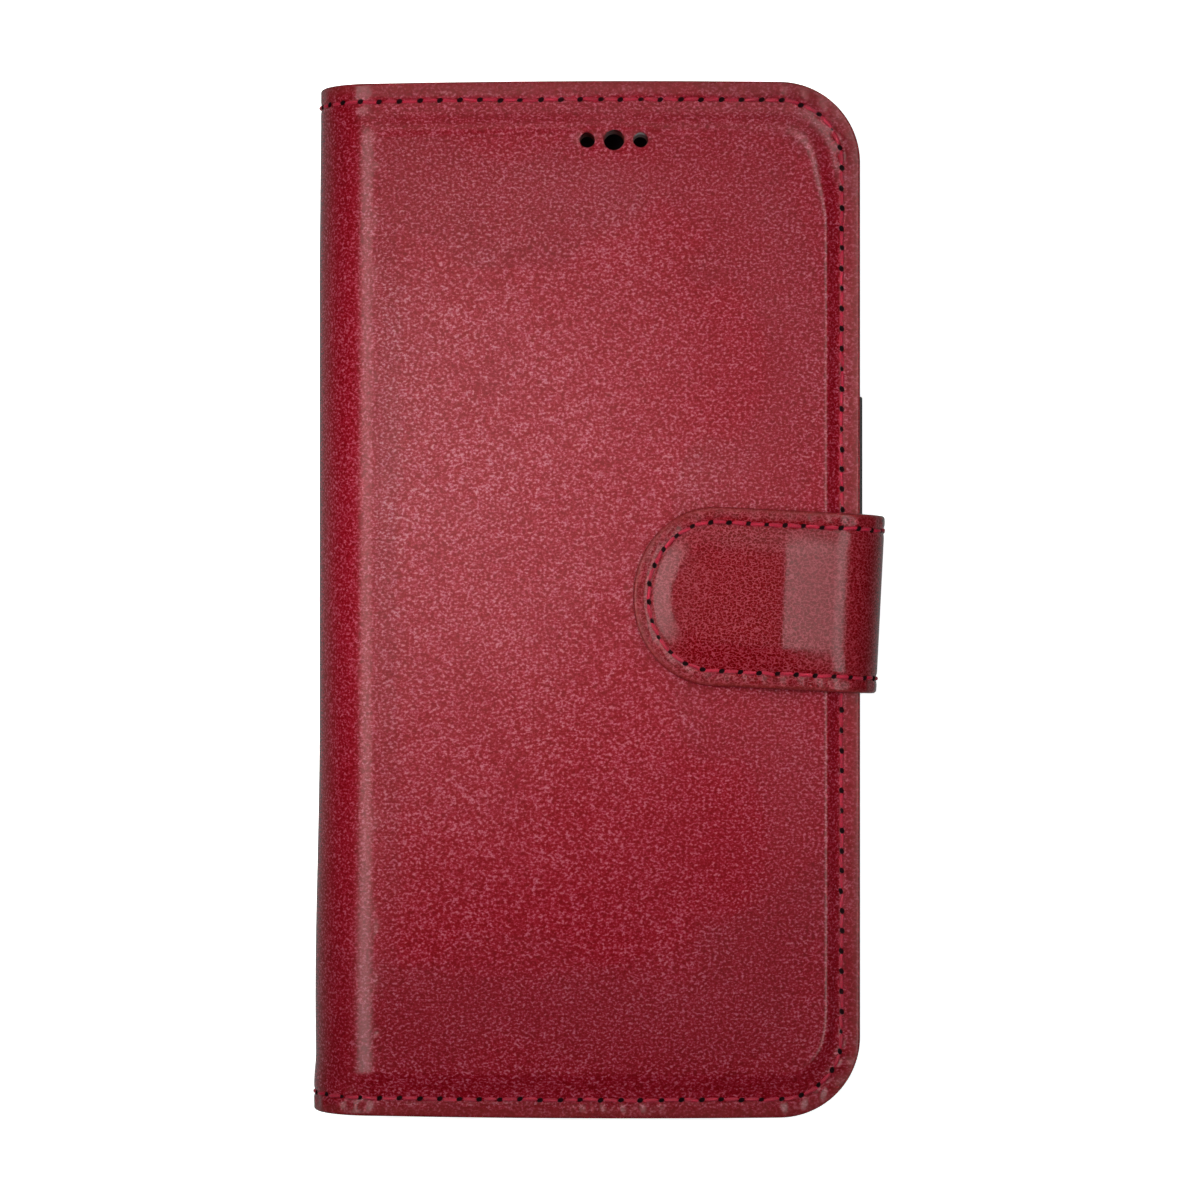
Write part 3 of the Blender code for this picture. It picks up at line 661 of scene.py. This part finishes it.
def case_sheets():
    """The leather and the lining of the front and the back."""
    flat_start = SPINE_RISE + SPINE_ARC
    ear_lines = spaced(-7.0 - SPINE_X + flat_start, 7.0 - SPINE_X + flat_start, 0.35)
    made = {}
    for side, front, rise_of, extra in (
        ("front", True, front_rise, ear_lines),
        ("back", False, back_rise, ()),
    ):
        s, y, edge = case_grid(0.0, 0.3, 1.1, 0.5, tuple(extra))
        outer = wrap_case(s, y, rise_of(s, y, edge), front)
        under = -LEATHER - 0.3 * rounded_edge(edge, CASE_EDGE)
        inner = wrap_case(s, y, under + spine_swell(s, y), front)
        if not front:
            outer, inner, edge = outer[:, ::-1], inner[:, ::-1], edge[:, ::-1]
        made[side] = closed_sheet(
            f"{side}_leather_sheet", outer, inner, edge, (COVER_LEATHER, EDGE_PAINT, SUEDE)
        )

        s, y, edge = case_grid(0.05, 0.7, 3.0, 0.8)
        drop = rounded_edge(edge, CASE_EDGE)
        outer = wrap_case(s, y, -LEATHER - 0.02 + spine_swell(s, y), front)
        inner = wrap_case(s, y, -INNER_FACE - drop, front)
        if not front:
            outer, inner, edge = outer[:, ::-1], inner[:, ::-1], edge[:, ::-1]
        made[f"{side}_lining"] = closed_sheet(
            f"{side}_lining_sheet", outer, inner, edge, (EDGE_PAINT, EDGE_PAINT, SUEDE)
        )
    bore(made["front"], ear_cutters(OUTER - 2 * LEATHER, PAD_TOP + 2))
    bore(made["front_lining"], ear_cutters(LINING_TOP - 1, OUTER))
    bore(made["back"], [camera_cutter(-1, 2 * LEATHER, 1.0)])
    bore(made["back_lining"], [camera_cutter(0, 2 * INNER_FACE, 1.0)])
    return made


# ---------------------------------------------------------------- the strap

# The points in each bend of the strap's profile, which start at the second one.
BEND_POINTS = 24


def quarter_arc(centre, radius, start):
    """Points round a quarter of a circle from a start angle."""
    turns = start + np.linspace(0, QUARTER, BEND_POINTS)
    return np.array(centre) + radius * np.stack([np.cos(turns), np.sin(turns)], axis=-1)


def strap_profile():
    """The strap's outer face in its own x and z, from its root to its tip."""
    low = quarter_arc(
        (STRAP_OUT - STRAP_ROOT_RADIUS, STRAP_LOW + STRAP_ROOT_RADIUS), STRAP_ROOT_RADIUS, -QUARTER
    )
    top = quarter_arc((STRAP_OUT - STRAP_BEND, STRAP_TOP - STRAP_BEND), STRAP_BEND, 0.0)
    return np.concatenate([[(STRAP_ROOT, STRAP_LOW)], low, top, [(STRAP_TIP, STRAP_TOP)]])


PROFILE = strap_profile()
RUN = np.concatenate(([0.0], np.cumsum(np.hypot(*np.diff(PROFILE, axis=0).T))))
STRAP_END = RUN[-1]
ROOT_BEND, ROOT_BEND_END = 1, BEND_POINTS
TOP_BEND, TOP_BEND_END = BEND_POINTS + 1, 2 * BEND_POINTS
HEADINGS = np.unwrap(np.arctan2(*np.gradient(PROFILE, RUN, axis=0).T[::-1]))
STRAP_MIDDLE = (RUN[ROOT_BEND_END] + RUN[TOP_BEND]) / 2


def strap_outward(s):
    """The outward direction of the strap's outer face at s."""
    heading = np.interp(s, RUN, HEADINGS)
    flat = np.stack([np.sin(heading), 0 * heading, -np.cos(heading)], axis=-1)
    return flat @ STRAP_PLACE[:3, :3].T


def wrap_strap(s, y, rise):
    """Points of the strap at s along its outer face and a height above it, slanted into place."""
    x, z = (np.interp(s, RUN, PROFILE[:, i]) for i in (0, 1))
    flat = np.stack([x, y + 0 * x, z], axis=-1) @ STRAP_PLACE[:3, :3].T + STRAP_PLACE[:3, 3]
    return flat + strap_outward(s) * np.asarray(rise)[..., None]


MAGNET_CREASE = STRAP_END - 22.4
MAGNET_HEIGHT = 1.1
MAGNET_BORDER = 2.6
MAGNET_SHOULDER = 3.7
RAMP = 14.0


def magnet_dome(s, y):
    """The leather raised over the magnet: D-shaped at the tip, creased at its straight end.

    From the crease it comes down in a long even slope to the strap's bend.
    """
    half = STRAP_WIDTH / 2
    slope = np.clip((s - MAGNET_CREASE + RAMP) / RAMP, 0, 1) ** 1.5
    from_tip = STRAP_END - STRAP_TIP_DEPTH
    reach = np.hypot(np.maximum(s - from_tip, 0) / STRAP_TIP_DEPTH, y / half)
    climb = np.clip((half * (1 - reach) - MAGNET_BORDER) / MAGNET_SHOULDER, 0, 1)
    return MAGNET_HEIGHT * slope * (0.75 * climb + 0.25 * smooth(climb, 0, 1))


def strap_rise(s, y, edge):
    """How far the strap's leather stands above its plain outer face."""
    pull = np.cos(2 * math.pi * s / STRAP_STITCH_PITCH)
    sunk = -GROOVE * hump(edge, STRAP_STITCH_INSET, 0.5)
    puckers = 0.05 * pull * hump(edge, STRAP_STITCH_INSET - 1.1, 0.7)
    return rounded_edge(edge, STRAP_EDGE) + sunk + puckers + magnet_dome(s, y)


# How far in from its edge the strap's grid is fine, past its stitches and its puckers.
STRAP_BORDER = 6.5


def strap_sheets():
    """The strap's lower half, from its root to halfway up the side, and its upper half to the tip."""
    half = STRAP_WIDTH / 2
    sides = from_edge(STRAP_BORDER, half, STRAP_EDGE, 0.25, 0.45)
    across = join_lines(sides - half, half - sides)
    root_bend = RUN[ROOT_BEND]
    made = {}

    s, y = np.meshgrid(spaced(0, STRAP_MIDDLE, 0.4), across, indexing="ij")
    edge = half - np.abs(y)
    outer = wrap_strap(s, y, strap_rise(s, y, edge) * smooth(s, 0, root_bend))
    depth = SKIVED + (STRAP_THICKNESS - SKIVED) * smooth(s, root_bend, root_bend + 2.4)
    inner = wrap_strap(s, y, -depth - 0.4 * rounded_edge(edge, STRAP_EDGE))
    made["lower"] = closed_sheet("strap_lower", outer, inner, edge, (STRAP_LEATHER, EDGE_PAINT, SUEDE))

    tip = STRAP_END - from_edge(STRAP_BORDER, STRAP_TIP_DEPTH, STRAP_EDGE, 0.25, 0.4)
    along = join_lines(spaced(STRAP_MIDDLE, STRAP_END - STRAP_TIP_DEPTH, 0.35), tip)
    s, y, edge = lay_out(along, across, STRAP_END, half, STRAP_TIP_DEPTH, half)
    outer = wrap_strap(s, y, strap_rise(s, y, edge))
    thinner = 1.1 * hump(s, RUN[TOP_BEND + BEND_POINTS // 2], 5.0)
    inner = wrap_strap(s, y, thinner - STRAP_THICKNESS - 0.4 * rounded_edge(edge, STRAP_EDGE))
    made["upper"] = closed_sheet("strap_upper", outer, inner, edge, (STRAP_LEATHER, EDGE_PAINT, SUEDE))
    return made


# ---------------------------------------------------------------- stitching

def socket_id(tree, name):
    """The identifier of a node group's input."""
    return next(item.identifier for item in tree.interface.items_tree if item.name == name)


def stitch_tree(name, sizes):
    """A Geometry Nodes tree, with an input for the geometry and one for each named size."""
    tree = bpy.data.node_groups.new(name, "GeometryNodeTree")
    tree.interface.new_socket("Geometry", in_out="INPUT", socket_type="NodeSocketGeometry")
    tree.interface.new_socket("Geometry", in_out="OUTPUT", socket_type="NodeSocketGeometry")
    for size_name in sizes:
        tree.interface.new_socket(size_name, in_out="INPUT", socket_type="NodeSocketFloat")
    return tree, add(tree, "NodeGroupInput").outputs, add(tree, "NodeGroupOutput")


def end_tree(tree, given, result, shape, material):
    """Sets the shape on every point, turned to the point's own directions, and finishes the tree."""
    outward = add(tree, "GeometryNodeInputNamedAttribute", {"Name": "outward"}, data_type="FLOAT_VECTOR")
    along = add(tree, "GeometryNodeInputNamedAttribute", {"Name": "along"}, data_type="FLOAT_VECTOR")
    turn = add(
        tree,
        "FunctionNodeAxesToRotation",
        {
            "Primary Axis": outward.outputs["Attribute"],
            "Secondary Axis": along.outputs["Attribute"],
        },
        primary_axis="Z",
        secondary_axis="X",
    )
    copies = add(
        tree,
        "GeometryNodeInstanceOnPoints",
        {"Points": given["Geometry"], "Instance": shape, "Rotation": turn.outputs["Rotation"]},
    )
    real = add(tree, "GeometryNodeRealizeInstances", {"Geometry": copies.outputs["Instances"]})
    coloured = add(
        tree, "GeometryNodeSetMaterial", {"Geometry": real.outputs["Geometry"], "Material": material}
    )
    tree.links.new(coloured.outputs["Geometry"], result.inputs["Geometry"])
    return tree


def thread_tree():
    """One stitch on each point: an arch of thread whose ends dive into the leather."""
    sizes = ("Length", "Radius", "Dive", "Rise")
    tree, given, result = stitch_tree("stitches", sizes)
    half = add(tree, "ShaderNodeMath", {0: given["Length"], 1: 0.5}, operation="MULTIPLY").outputs[0]
    back = add(tree, "ShaderNodeMath", {0: given["Length"], 1: -0.5}, operation="MULTIPLY").outputs[0]
    down = add(tree, "ShaderNodeMath", {0: given["Dive"], 1: -1.0}, operation="MULTIPLY").outputs[0]
    start = add(tree, "ShaderNodeCombineXYZ", {"X": back, "Z": down})
    middle = add(tree, "ShaderNodeCombineXYZ", {"Z": given["Rise"]})
    end = add(tree, "ShaderNodeCombineXYZ", {"X": half, "Z": down})
    arch = add(
        tree,
        "GeometryNodeCurveQuadraticBezier",
        {
            "Resolution": 6,
            "Start": start.outputs[0],
            "Middle": middle.outputs[0],
            "End": end.outputs[0],
        },
    )
    ring = add(tree, "GeometryNodeCurvePrimitiveCircle", {"Resolution": 7, "Radius": given["Radius"]})
    solid = add(
        tree,
        "GeometryNodeCurveToMesh",
        {"Curve": arch.outputs["Curve"], "Profile Curve": ring.outputs["Curve"], "Fill Caps": True},
    )
    smoothed = add(tree, "GeometryNodeSetShadeSmooth", {"Geometry": solid.outputs["Mesh"]})
    return end_tree(tree, given, result, smoothed.outputs["Geometry"], THREAD)


def hole_tree():
    """One needle hole on each point: a flat lens in the painted shade of the hole, slanted across the row.
    """
    sizes = ("Length", "Width", "Depth", "Slant")
    tree, given, result = stitch_tree("needle_holes", sizes)
    ball = add(tree, "GeometryNodeMeshUVSphere", {"Segments": 10, "Rings": 5, "Radius": 0.5})
    scale = add(
        tree,
        "ShaderNodeCombineXYZ",
        {"X": given["Length"], "Y": given["Width"], "Z": given["Depth"]},
    )
    slant = add(tree, "ShaderNodeCombineXYZ", {"Z": given["Slant"]})
    shaped = add(
        tree,
        "GeometryNodeTransform",
        {"Geometry": ball.outputs["Mesh"], "Scale": scale.outputs[0], "Rotation": slant.outputs[0]},
    )
    smoothed = add(tree, "GeometryNodeSetShadeSmooth", {"Geometry": shaped.outputs["Geometry"]})
    return end_tree(tree, given, result, smoothed.outputs["Geometry"], HOLE)


THREAD_TREE = thread_tree()
HOLE_TREE = hole_tree()
THREAD_SIZES = {"Length": 2.3 * MM, "Radius": 0.29 * MM, "Dive": 0.42 * MM, "Rise": 0.62 * MM}
HOLE_SIZES = {"Length": 1.0 * MM, "Width": 0.74 * MM, "Depth": 0.36 * MM, "Slant": math.radians(25)}


def walk(route, pitch):
    """Places evenly spaced along a route in (s, y), as stitch middles and the needle holes between them."""
    route = np.asarray(route, float)
    steps = np.hypot(*np.diff(route, axis=0).T)
    total = np.concatenate(([0.0], np.cumsum(steps)))
    count = max(1, round(total[-1] / pitch))
    step = total[-1] / count
    return [
        np.stack([np.interp(places, total, route[:, i]) for i in (0, 1)], axis=-1)
        for places in ((np.arange(count) + 0.5) * step, np.arange(count + 1) * step)
    ]


def sew(name, tree, sizes, points, outward, along):
    """Runs a tree on points with their directions, and returns the plain mesh it makes."""
    mesh = bpy.data.meshes.new(name)
    mesh.from_pydata((points * MM).tolist(), [], [])
    for attribute, values in (("outward", outward), ("along", along)):
        layer = mesh.attributes.new(attribute, "FLOAT_VECTOR", "POINT")
        layer.data.foreach_set("vector", values.astype(np.float32).ravel())
    made = bpy.data.objects.new(name, mesh)
    bpy.context.scene.collection.objects.link(made)
    step = made.modifiers.new("stitches", "NODES")
    step.node_group = tree
    for size_name, value in sizes.items():
        step[socket_id(tree, size_name)] = value
    bake(made)
    return made


def directions(points):
    """The direction of a row at each of its points."""
    step = np.gradient(points, axis=0)
    return step / np.linalg.norm(step, axis=1, keepdims=True)


def sew_rows(name, rows, pitch, place, outward):
    """Stitches and needle holes along rows in (s, y), as two pieces."""
    pieces = []
    for part, tree, sizes, which in (
        ("stitches", THREAD_TREE, THREAD_SIZES, 0),
        ("needle_holes", HOLE_TREE, HOLE_SIZES, 1),
    ):
        points, out, along = [], [], []
        for route in rows:
            spots = walk(route, pitch)[which]
            on_face = place(spots[:, 0], spots[:, 1])
            along.append(directions(on_face) + HAND.normal(0, 0.07, on_face.shape))
            points.append(on_face + HAND.normal(0, 0.05, on_face.shape))
            out.append(outward(spots[:, 0]))
        pieces.append(sew(f"{name}_{part}", tree, sizes, *map(np.concatenate, (points, out, along))))
    return pieces


def case_row():
    """The row round a half of the case, from the middle of the spine and back to it."""
    inset = STITCH_INSET
    s_mid, y_mid = CASE_END - COVER_CORNER, COVER_END - COVER_CORNER
    radius = COVER_CORNER - inset
    turns = np.linspace(QUARTER, 0, 13)
    upper = [(s_mid + radius * math.cos(t), y_mid + radius * math.sin(t)) for t in turns]
    flat_start = SPINE_RISE + SPINE_ARC
    top = [(s, COVER_END - inset) for s in np.linspace(0.6, flat_start, 30)]
    half = top + upper
    return half + [(s, -y) for s, y in reversed(half)]


def strap_row(start, stop):
    """One long side's row on the strap, between two places along it."""
    row = STRAP_WIDTH / 2 - STRAP_STITCH_INSET
    return [(s, row) for s in np.linspace(start, stop, 40)]


def tongue_row():
    """The row round the strap's upper half, from the middle of the side round the tip and back."""
    centre = STRAP_END - STRAP_TIP_DEPTH
    a, b = STRAP_TIP_DEPTH - STRAP_STITCH_INSET, STRAP_WIDTH / 2 - STRAP_STITCH_INSET
    turns = np.linspace(QUARTER, -QUARTER, 41)
    tip = [(centre + a * math.cos(t), b * math.sin(t)) for t in turns]
    side = strap_row(STRAP_MIDDLE + 0.6, centre - 0.3)
    return side + tip + [(s, -y) for s, y in reversed(side)]


# How deep the rows lie, and the hand's slight unevenness from stitch to stitch.
SUNK = 0.16
HAND = np.random.default_rng(11)


def stitching():
    """All the stitches and needle holes."""
    made = {}
    for side, front in (("front", True), ("back", False)):
        made[side] = sew_rows(
            side,
            [case_row()],
            STITCH_PITCH,
            lambda s, y, front=front: wrap_case(s, y, spine_swell(s, y) - SUNK, front),
            lambda s, front=front: case_outward(s, front),
        )
    low = strap_row(RUN[ROOT_BEND] + 0.8, STRAP_MIDDLE - 0.6)
    low_rows = [low, [(s, -y) for s, y in low]]
    for part, rows in (("strap_lower", low_rows), ("strap_upper", [tongue_row()])):
        made[part] = sew_rows(
            part, rows, STRAP_STITCH_PITCH, lambda s, y: wrap_strap(s, y, 0 * s - SUNK), strap_outward
        )
    return made


# ---------------------------------------------------------------- pockets

def pocket_sheet(node, mouth_corner):
    """A pocket's leather panel, with a creased line beside its mouth and rounded edges."""
    low, high = box(node)
    length, half = high[0] - low[0], (high[1] - low[1]) / 2
    middle = (high[1] + low[1]) / 2
    ends = from_edge(COVER_CORNER, length / 2, PANEL_EDGE, 0.5, 2.0)
    sides = from_edge(COVER_CORNER, half, PANEL_EDGE, 0.5, 2.0)
    along, across = join_lines(ends, length - ends), join_lines(sides - half, half - sides)
    s, y, edge = lay_out(along, across, length, half, COVER_CORNER, COVER_CORNER)
    edge = np.minimum(edge, s)
    back, y, edge = round_corners(length - s, y, edge, length, half, mouth_corner, mouth_corner)
    crease = -0.1 * hump(length - back, 1.7, 0.25)
    face = crease + rounded_edge(edge, PANEL_EDGE) + 0.05 * smooth(edge, 1.0, 18.0)
    x = low[0] + length - back
    lower = np.stack([x, middle + y, low[2] - face], axis=-1)
    upper = np.stack([x, middle + y, 0 * x + high[2] + 0.28], axis=-1)
    return closed_sheet(f"{node}_panel", upper, lower, edge, (POCKET_LEATHER, EDGE_PAINT, POCKET_LEATHER))


# ---------------------------------------------------------------- putting it together

def ride_pieces(body, slot, *pieces):
    """Lets pieces move with one body."""
    for piece in pieces:
        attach(piece, body)


def bend_pieces(bodies, ends, slot, *pieces):
    """Bakes each piece's place into its mesh; the fold's two places in millimetres are not used."""
    for piece in pieces:
        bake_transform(piece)


def assemble():
    """Makes every piece, hangs the pockets on the front, hides the CAD nodes that the pieces stand in for,
    and gives the CAD nodes that stay their materials.
    """
    case = case_sheets()
    strap = strap_sheets()
    thread = stitching()
    front_fold = (("spine", "front"), ((SPINE_LEFT, 0, OUTER - SPINE_RADIUS), (SPINE_X, 0, OUTER)))
    back_fold = (("back", "spine"), ((SPINE_X, 0, 0), (SPINE_LEFT, 0, SPINE_RADIUS)))
    bend_pieces(*front_fold, "red_leather", case["front"])
    bend_pieces(*front_fold, "suede_lining", case["front_lining"])
    bend_pieces(*front_fold, "red_thread", *thread["front"])
    bend_pieces(*back_fold, "red_leather", case["back"])
    bend_pieces(*back_fold, "suede_lining", case["back_lining"])
    bend_pieces(*back_fold, "red_thread", *thread["back"])
    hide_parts("front_leather", "front_foam", "spine_leather")
    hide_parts("front_lining", "front_board", "spine_lining", "spine_stiffener")
    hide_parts("back_leather")
    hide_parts("back_lining", "back_board")
    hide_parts("front_thread", "spine_thread_upper", "spine_thread_lower")
    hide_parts("back_thread")

    root_ends = RUN[[ROOT_BEND, ROOT_BEND_END]]
    # The upper fold's ends lie above the cover, clear of the cover's edge.
    top_ends = RUN[[TOP_BEND + 9, TOP_BEND_END]]
    low_fold = (("back", "strap_side"), wrap_strap(root_ends, np.zeros(2), 0.0))
    top_fold = (("strap_side", "tongue"), wrap_strap(top_ends, np.zeros(2), 0.0))
    bend_pieces(*low_fold, "red_leather", strap["lower"])
    bend_pieces(*low_fold, "red_thread", *thread["strap_lower"])
    bend_pieces(*top_fold, "red_leather", strap["upper"])
    bend_pieces(*top_fold, "red_thread", *thread["strap_upper"])
    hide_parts("strap_root")
    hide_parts("strap_side_leather", "strap_side_lining", "tongue_leather", "tongue_lining")
    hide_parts("strap_side_thread_upper", "strap_side_thread_lower")
    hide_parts("tongue_thread")

    for node in ("card_pocket_1", "card_pocket_2", "card_pocket_3", "cash_pocket"):
        panel = pocket_sheet(node, 6.0 if node == "cash_pocket" else 1.5)
        ride_pieces("front", "red_leather", panel)
        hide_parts(node)

    for node, material in (
        ("phone_shell", SHELL_PLASTIC),
        ("side_key", SHELL_PLASTIC),
        ("volume_up_key", SHELL_PLASTIC),
        ("volume_down_key", SHELL_PLASTIC),
        ("shell_adhesive", FILM),
        ("front_magnet", STEEL),
        ("strap_magnet", STEEL),
    ):
        given = frame["nodes"][node]
        for slot_of in given.material_slots:
            slot_of.material = material


def light(name, place, aim, size, power, spread=180.0, glossy=False):
    """A soft rectangular lamp aimed at a point, in millimetres, with its beam's spread in degrees.

    A lamp that isn't glossy lights the case and leaves no highlight on it.
    """
    made = bpy.data.lights.new(name, "AREA")
    made.shape = "RECTANGLE"
    made.size, made.size_y = size[0] * MM, size[1] * MM
    made.energy = power
    made.spread = math.radians(spread)
    lamp = bpy.data.objects.new(name, made)
    bpy.context.scene.collection.objects.link(lamp)
    lamp.rotation_euler = (Vector(aim) - Vector(place)).to_track_quat("-Z", "Y").to_euler()
    lamp.location = Vector(place) * MM
    lamp.visible_glossy = glossy


def pale_floor():
    """A pale floor just under the case, which gives no light back to it."""
    floor_material, tree, place = start_material("pale_floor")
    cloud = add(tree, "ShaderNodeTexNoise", {"Vector": place, "Scale": 3.0})
    colour = ramp(tree, cloud.outputs["Fac"], ((0.0, "#F6F6F5"), (1.0, "#FAFAF9")))
    shader = add(
        tree,
        "ShaderNodeBsdfPrincipled",
        {
            "Base Color": colour,
            "Roughness": 0.9,
            "Emission Color": linear("#FFFFFF"),
            "Emission Strength": 0.8,
        },
    )
    end_material(floor_material, tree, shader)
    bpy.ops.mesh.primitive_plane_add(size=6.0, location=(0, 0, -0.0004))
    floor = bpy.context.object
    floor.name = "floor"
    floor.data.materials.append(floor_material)
    floor.visible_glossy = floor.visible_diffuse = False


def lamps():
    """Long softboxes on the left and right, a narrow one beyond the top, and a spot."""
    light("left_softbox", (-285, 40, 400), (-20, 10, 20), (560, 190), 0.84, glossy=True)
    light("right_softbox", (210, 50, 450), (0, 20, 20), (560, 195), 0.8, glossy=True)
    light("top_softbox", (0, 330, 360), (0, 20, 20), (420, 100), 0.12, glossy=True)
    light("spot_lamp", (-70, 40, 520), (-18, 14, 20), (70, 70), 0.044, 27.0)


def air():
    """Faint light from all round, brighter from below the horizon, as from a table."""
    world = bpy.data.worlds.new("studio_air")
    world.use_nodes = True
    tree = world.node_tree
    way = add(tree, "ShaderNodeSeparateXYZ", {0: add(tree, "ShaderNodeTexCoord").outputs["Generated"]})
    strength = add(
        tree,
        "ShaderNodeMapRange",
        {"Value": way.outputs["Z"], "From Min": -0.6, "From Max": -0.1, "To Min": 0.3, "To Max": 0.03},
    )
    tree.links.new(strength.outputs["Result"], tree.nodes["Background"].inputs["Strength"])
    tree.nodes["Background"].inputs["Color"].default_value = linear("#FFFFFF")
    bpy.context.scene.world = world


def studio_camera():
    """The camera, straight above the case."""
    scene = bpy.context.scene
    scene.view_settings.view_transform = "Standard"
    camera_data = bpy.data.cameras.new("camera")
    camera_data.sensor_width = 36.0
    camera_data.lens = 115.0
    camera_data.clip_end = 20.0
    view_across = 180.25
    distance = view_across * camera_data.lens / camera_data.sensor_width
    camera = bpy.data.objects.new("camera", camera_data)
    scene.collection.objects.link(camera)
    camera.location = Vector((-2.1, -0.04, OUTER + distance)) * MM
    scene.camera = camera


assemble()
pale_floor()
lamps()
air()
studio_camera()

bpy.context.view_layer.update()
